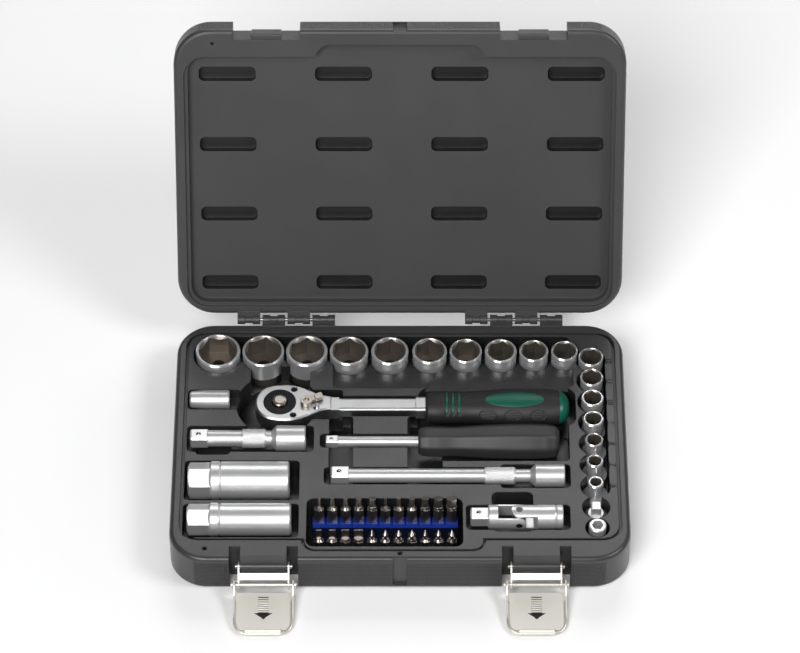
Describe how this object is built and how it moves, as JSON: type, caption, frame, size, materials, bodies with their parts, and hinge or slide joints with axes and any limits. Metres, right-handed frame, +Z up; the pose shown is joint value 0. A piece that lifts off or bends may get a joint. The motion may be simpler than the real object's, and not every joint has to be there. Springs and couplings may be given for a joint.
{
  "type": "socket wrench set in case",
  "caption": "Open hinged carry case with moulded tray holding drive sockets, ratchet, spinner handle, extension bars, bits, joint and adapters; two draw latches.",
  "frame": {"origin": "centre of the case base's underside", "axes": "+X to the right seen from the latch side, +Y from the latches to the hinge, +Z up"},
  "size_m": [0.3, 0.3551, 0.2124],
  "materials": {
    "case_plastic": "satin blow-moulded, fine grain",
    "socket_chrome": "bright",
    "satin_chrome": "satin",
    "nickel_plate": "bright nickel",
    "bare_steel": "bright",
    "dark_steel": "black oxide",
    "bit_steel": "satin",
    "insert_rubber": "matte",
    "grip_rubber": "matte",
    "green_grip": "semi-gloss",
    "rail_blue": "semi-gloss"
  },
  "bodies": {
    "case_base": {"base_shell": "case_plastic", "hinge_pins": "bare_steel", "latch_pins": "bare_steel"},
    "lid": {"lid_shell": "case_plastic"},
    "link_left": {"latch_link_left": "nickel_plate", "latch_rod_left": "nickel_plate"},
    "link_right": {"latch_link_right": "nickel_plate", "latch_rod_right": "nickel_plate"},
    "lever_left": {"latch_lever_left": "nickel_plate"},
    "lever_right": {"latch_lever_right": "nickel_plate"},
    "socket_22_tool": {"socket_22": "socket_chrome"},
    "socket_21_tool": {"socket_21": "socket_chrome"},
    "socket_20_tool": {"socket_20": "socket_chrome"},
    "socket_19_tool": {"socket_19": "socket_chrome"},
    "socket_18_tool": {"socket_18": "socket_chrome"},
    "socket_17_tool": {"socket_17": "socket_chrome"},
    "socket_16_tool": {"socket_16": "socket_chrome"},
    "socket_15_tool": {"socket_15": "socket_chrome"},
    "socket_14_tool": {"socket_14": "socket_chrome"},
    "socket_13_tool": {"socket_13": "socket_chrome"},
    "socket_12_tool": {"socket_12": "socket_chrome"},
    "socket_11_tool": {"socket_11": "socket_chrome"},
    "socket_10_tool": {"socket_10": "socket_chrome"},
    "socket_09_tool": {"socket_09": "socket_chrome"},
    "socket_08_tool": {"socket_08": "socket_chrome"},
    "socket_07_tool": {"socket_07": "socket_chrome"},
    "socket_06_tool": {"socket_06": "socket_chrome"},
    "step_adapter_tool": {"step_adapter": "satin_chrome"},
    "bit_adapter_tool": {"bit_adapter": "satin_chrome"},
    "bit_coupler_tool": {"bit_coupler": "satin_chrome"},
    "extension_75_tool": {"extension_75": "satin_chrome", "extension_75_ball": "bare_steel"},
    "extension_150_tool": {"extension_150": "satin_chrome", "extension_150_ball": "bare_steel"},
    "spark_21_tool": {"spark_socket_21": "satin_chrome", "spark_insert_21": "insert_rubber"},
    "spark_16_tool": {"spark_socket_16": "satin_chrome", "spark_insert_16": "insert_rubber"},
    "spinner_tool": {"spinner_shaft": "satin_chrome", "spinner_ball": "bare_steel", "spinner_grip": "grip_rubber"},
    "bit_set": {"bit_rail": "rail_blue", "bits_torx": "bit_steel", "bits_hex": "bit_steel", "bits_driver": "bit_steel"},
    "ratchet_tool": {"ratchet_body": "satin_chrome", "ratchet_screws": "dark_steel", "ratchet_grip": "grip_rubber", "ratchet_cap": "green_grip", "ratchet_inlay": "green_grip"},
    "ratchet_drive": {"ratchet_gear": "dark_steel", "ratchet_ball": "bare_steel", "ratchet_ring": "dark_steel"},
    "quick_release": {"ratchet_button": "satin_chrome"},
    "reversing_lever": {"ratchet_lever": "bare_steel", "ratchet_pawl": "dark_steel"},
    "u_joint_tool": {"u_male": "satin_chrome", "u_ball": "bare_steel"},
    "u_centre": {"u_cross": "dark_steel"},
    "u_socket_end": {"u_female": "satin_chrome"}
  },
  "joints": [
    {"name": "lid_hinge", "type": "hinge", "parent": "case_base", "child": "lid", "pos_m": [0, 0.1048, 0.0302], "axis": [-1, 0, 0], "range_deg": [-117, 0]},
    {"name": "link_left_hinge", "type": "hinge", "parent": "case_base", "child": "link_left", "pos_m": [-0.0884, -0.096, 0.017], "axis": [1, 0, 0], "range_deg": [0, 16]},
    {"name": "lever_left_hinge", "type": "hinge", "parent": "link_left", "child": "lever_left", "pos_m": [-0.0884, -0.10583, 0.01012], "axis": [-1, 0, 0], "range_deg": [0, 86]},
    {"name": "link_right_hinge", "type": "hinge", "parent": "case_base", "child": "link_right", "pos_m": [0.0884, -0.096, 0.017], "axis": [1, 0, 0], "range_deg": [0, 16]},
    {"name": "lever_right_hinge", "type": "hinge", "parent": "link_right", "child": "lever_right", "pos_m": [0.0884, -0.10583, 0.01012], "axis": [-1, 0, 0], "range_deg": [0, 86]},
    {"name": "socket_22_tool_lift", "type": "slide", "parent": "case_base", "child": "socket_22_tool", "axis": [0, 0, 1], "range_m": [0, 0.045]},
    {"name": "socket_21_tool_lift", "type": "slide", "parent": "case_base", "child": "socket_21_tool", "axis": [0, 0, 1], "range_m": [0, 0.045]},
    {"name": "socket_20_tool_lift", "type": "slide", "parent": "case_base", "child": "socket_20_tool", "axis": [0, 0, 1], "range_m": [0, 0.045]},
    {"name": "socket_19_tool_lift", "type": "slide", "parent": "case_base", "child": "socket_19_tool", "axis": [0, 0, 1], "range_m": [0, 0.045]},
    {"name": "socket_18_tool_lift", "type": "slide", "parent": "case_base", "child": "socket_18_tool", "axis": [0, 0, 1], "range_m": [0, 0.045]},
    {"name": "socket_17_tool_lift", "type": "slide", "parent": "case_base", "child": "socket_17_tool", "axis": [0, 0, 1], "range_m": [0, 0.045]},
    {"name": "socket_16_tool_lift", "type": "slide", "parent": "case_base", "child": "socket_16_tool", "axis": [0, 0, 1], "range_m": [0, 0.045]},
    {"name": "socket_15_tool_lift", "type": "slide", "parent": "case_base", "child": "socket_15_tool", "axis": [0, 0, 1], "range_m": [0, 0.045]},
    {"name": "socket_14_tool_lift", "type": "slide", "parent": "case_base", "child": "socket_14_tool", "axis": [0, 0, 1], "range_m": [0, 0.045]},
    {"name": "socket_13_tool_lift", "type": "slide", "parent": "case_base", "child": "socket_13_tool", "axis": [0, 0, 1], "range_m": [0, 0.045]},
    {"name": "socket_12_tool_lift", "type": "slide", "parent": "case_base", "child": "socket_12_tool", "axis": [0, 0, 1], "range_m": [0, 0.045]},
    {"name": "socket_11_tool_lift", "type": "slide", "parent": "case_base", "child": "socket_11_tool", "axis": [0, 0, 1], "range_m": [0, 0.045]},
    {"name": "socket_10_tool_lift", "type": "slide", "parent": "case_base", "child": "socket_10_tool", "axis": [0, 0, 1], "range_m": [0, 0.045]},
    {"name": "socket_09_tool_lift", "type": "slide", "parent": "case_base", "child": "socket_09_tool", "axis": [0, 0, 1], "range_m": [0, 0.045]},
    {"name": "socket_08_tool_lift", "type": "slide", "parent": "case_base", "child": "socket_08_tool", "axis": [0, 0, 1], "range_m": [0, 0.045]},
    {"name": "socket_07_tool_lift", "type": "slide", "parent": "case_base", "child": "socket_07_tool", "axis": [0, 0, 1], "range_m": [0, 0.045]},
    {"name": "socket_06_tool_lift", "type": "slide", "parent": "case_base", "child": "socket_06_tool", "axis": [0, 0, 1], "range_m": [0, 0.045]},
    {"name": "step_adapter_tool_lift", "type": "slide", "parent": "case_base", "child": "step_adapter_tool", "axis": [0, 0, 1], "range_m": [0, 0.045]},
    {"name": "bit_adapter_tool_lift", "type": "slide", "parent": "case_base", "child": "bit_adapter_tool", "axis": [0, 0, 1], "range_m": [0, 0.045]},
    {"name": "bit_coupler_tool_lift", "type": "slide", "parent": "case_base", "child": "bit_coupler_tool", "axis": [0, 0, 1], "range_m": [0, 0.045]},
    {"name": "extension_75_tool_lift", "type": "slide", "parent": "case_base", "child": "extension_75_tool", "axis": [0, 0, 1], "range_m": [0, 0.045]},
    {"name": "extension_150_tool_lift", "type": "slide", "parent": "case_base", "child": "extension_150_tool", "axis": [0, 0, 1], "range_m": [0, 0.045]},
    {"name": "spark_21_tool_lift", "type": "slide", "parent": "case_base", "child": "spark_21_tool", "axis": [0, 0, 1], "range_m": [0, 0.045]},
    {"name": "spark_16_tool_lift", "type": "slide", "parent": "case_base", "child": "spark_16_tool", "axis": [0, 0, 1], "range_m": [0, 0.045]},
    {"name": "spinner_tool_lift", "type": "slide", "parent": "case_base", "child": "spinner_tool", "axis": [0, 0, 1], "range_m": [0, 0.045]},
    {"name": "bit_set_lift", "type": "slide", "parent": "case_base", "child": "bit_set", "axis": [0, 0, 1], "range_m": [0, 0.045]},
    {"name": "ratchet_tool_lift", "type": "slide", "parent": "case_base", "child": "ratchet_tool", "axis": [0, 0, 1], "range_m": [0, 0.045]},
    {"name": "ratchet_drive_spin", "type": "hinge", "parent": "ratchet_tool", "child": "ratchet_drive", "pos_m": [-0.08, 0.0305, 0.026], "axis": [0, 0, 1], "continuous": true},
    {"name": "quick_release_press", "type": "slide", "parent": "ratchet_drive", "child": "quick_release", "axis": [0, 0, -1], "range_m": [0, 0.002], "stiffness_N_per_m": 400},
    {"name": "reversing_lever_turn", "type": "hinge", "parent": "ratchet_tool", "child": "reversing_lever", "pos_m": [-0.0623, 0.0295, 0.032], "axis": [0, 0, -1], "range_deg": [0, 30]},
    {"name": "u_joint_tool_lift", "type": "slide", "parent": "case_base", "child": "u_joint_tool", "axis": [0, 0, 1], "range_m": [0, 0.045]},
    {"name": "u_cross_tilt", "type": "hinge", "parent": "u_joint_tool", "child": "u_centre", "pos_m": [0.0776, -0.0643, 0.0285], "axis": [0, -1, 0], "range_deg": [0, 30]},
    {"name": "u_end_swivel", "type": "hinge", "parent": "u_centre", "child": "u_socket_end", "pos_m": [0.0776, -0.0643, 0.0285], "axis": [0, 0, 1], "range_deg": [-2, 2]}
  ]
}
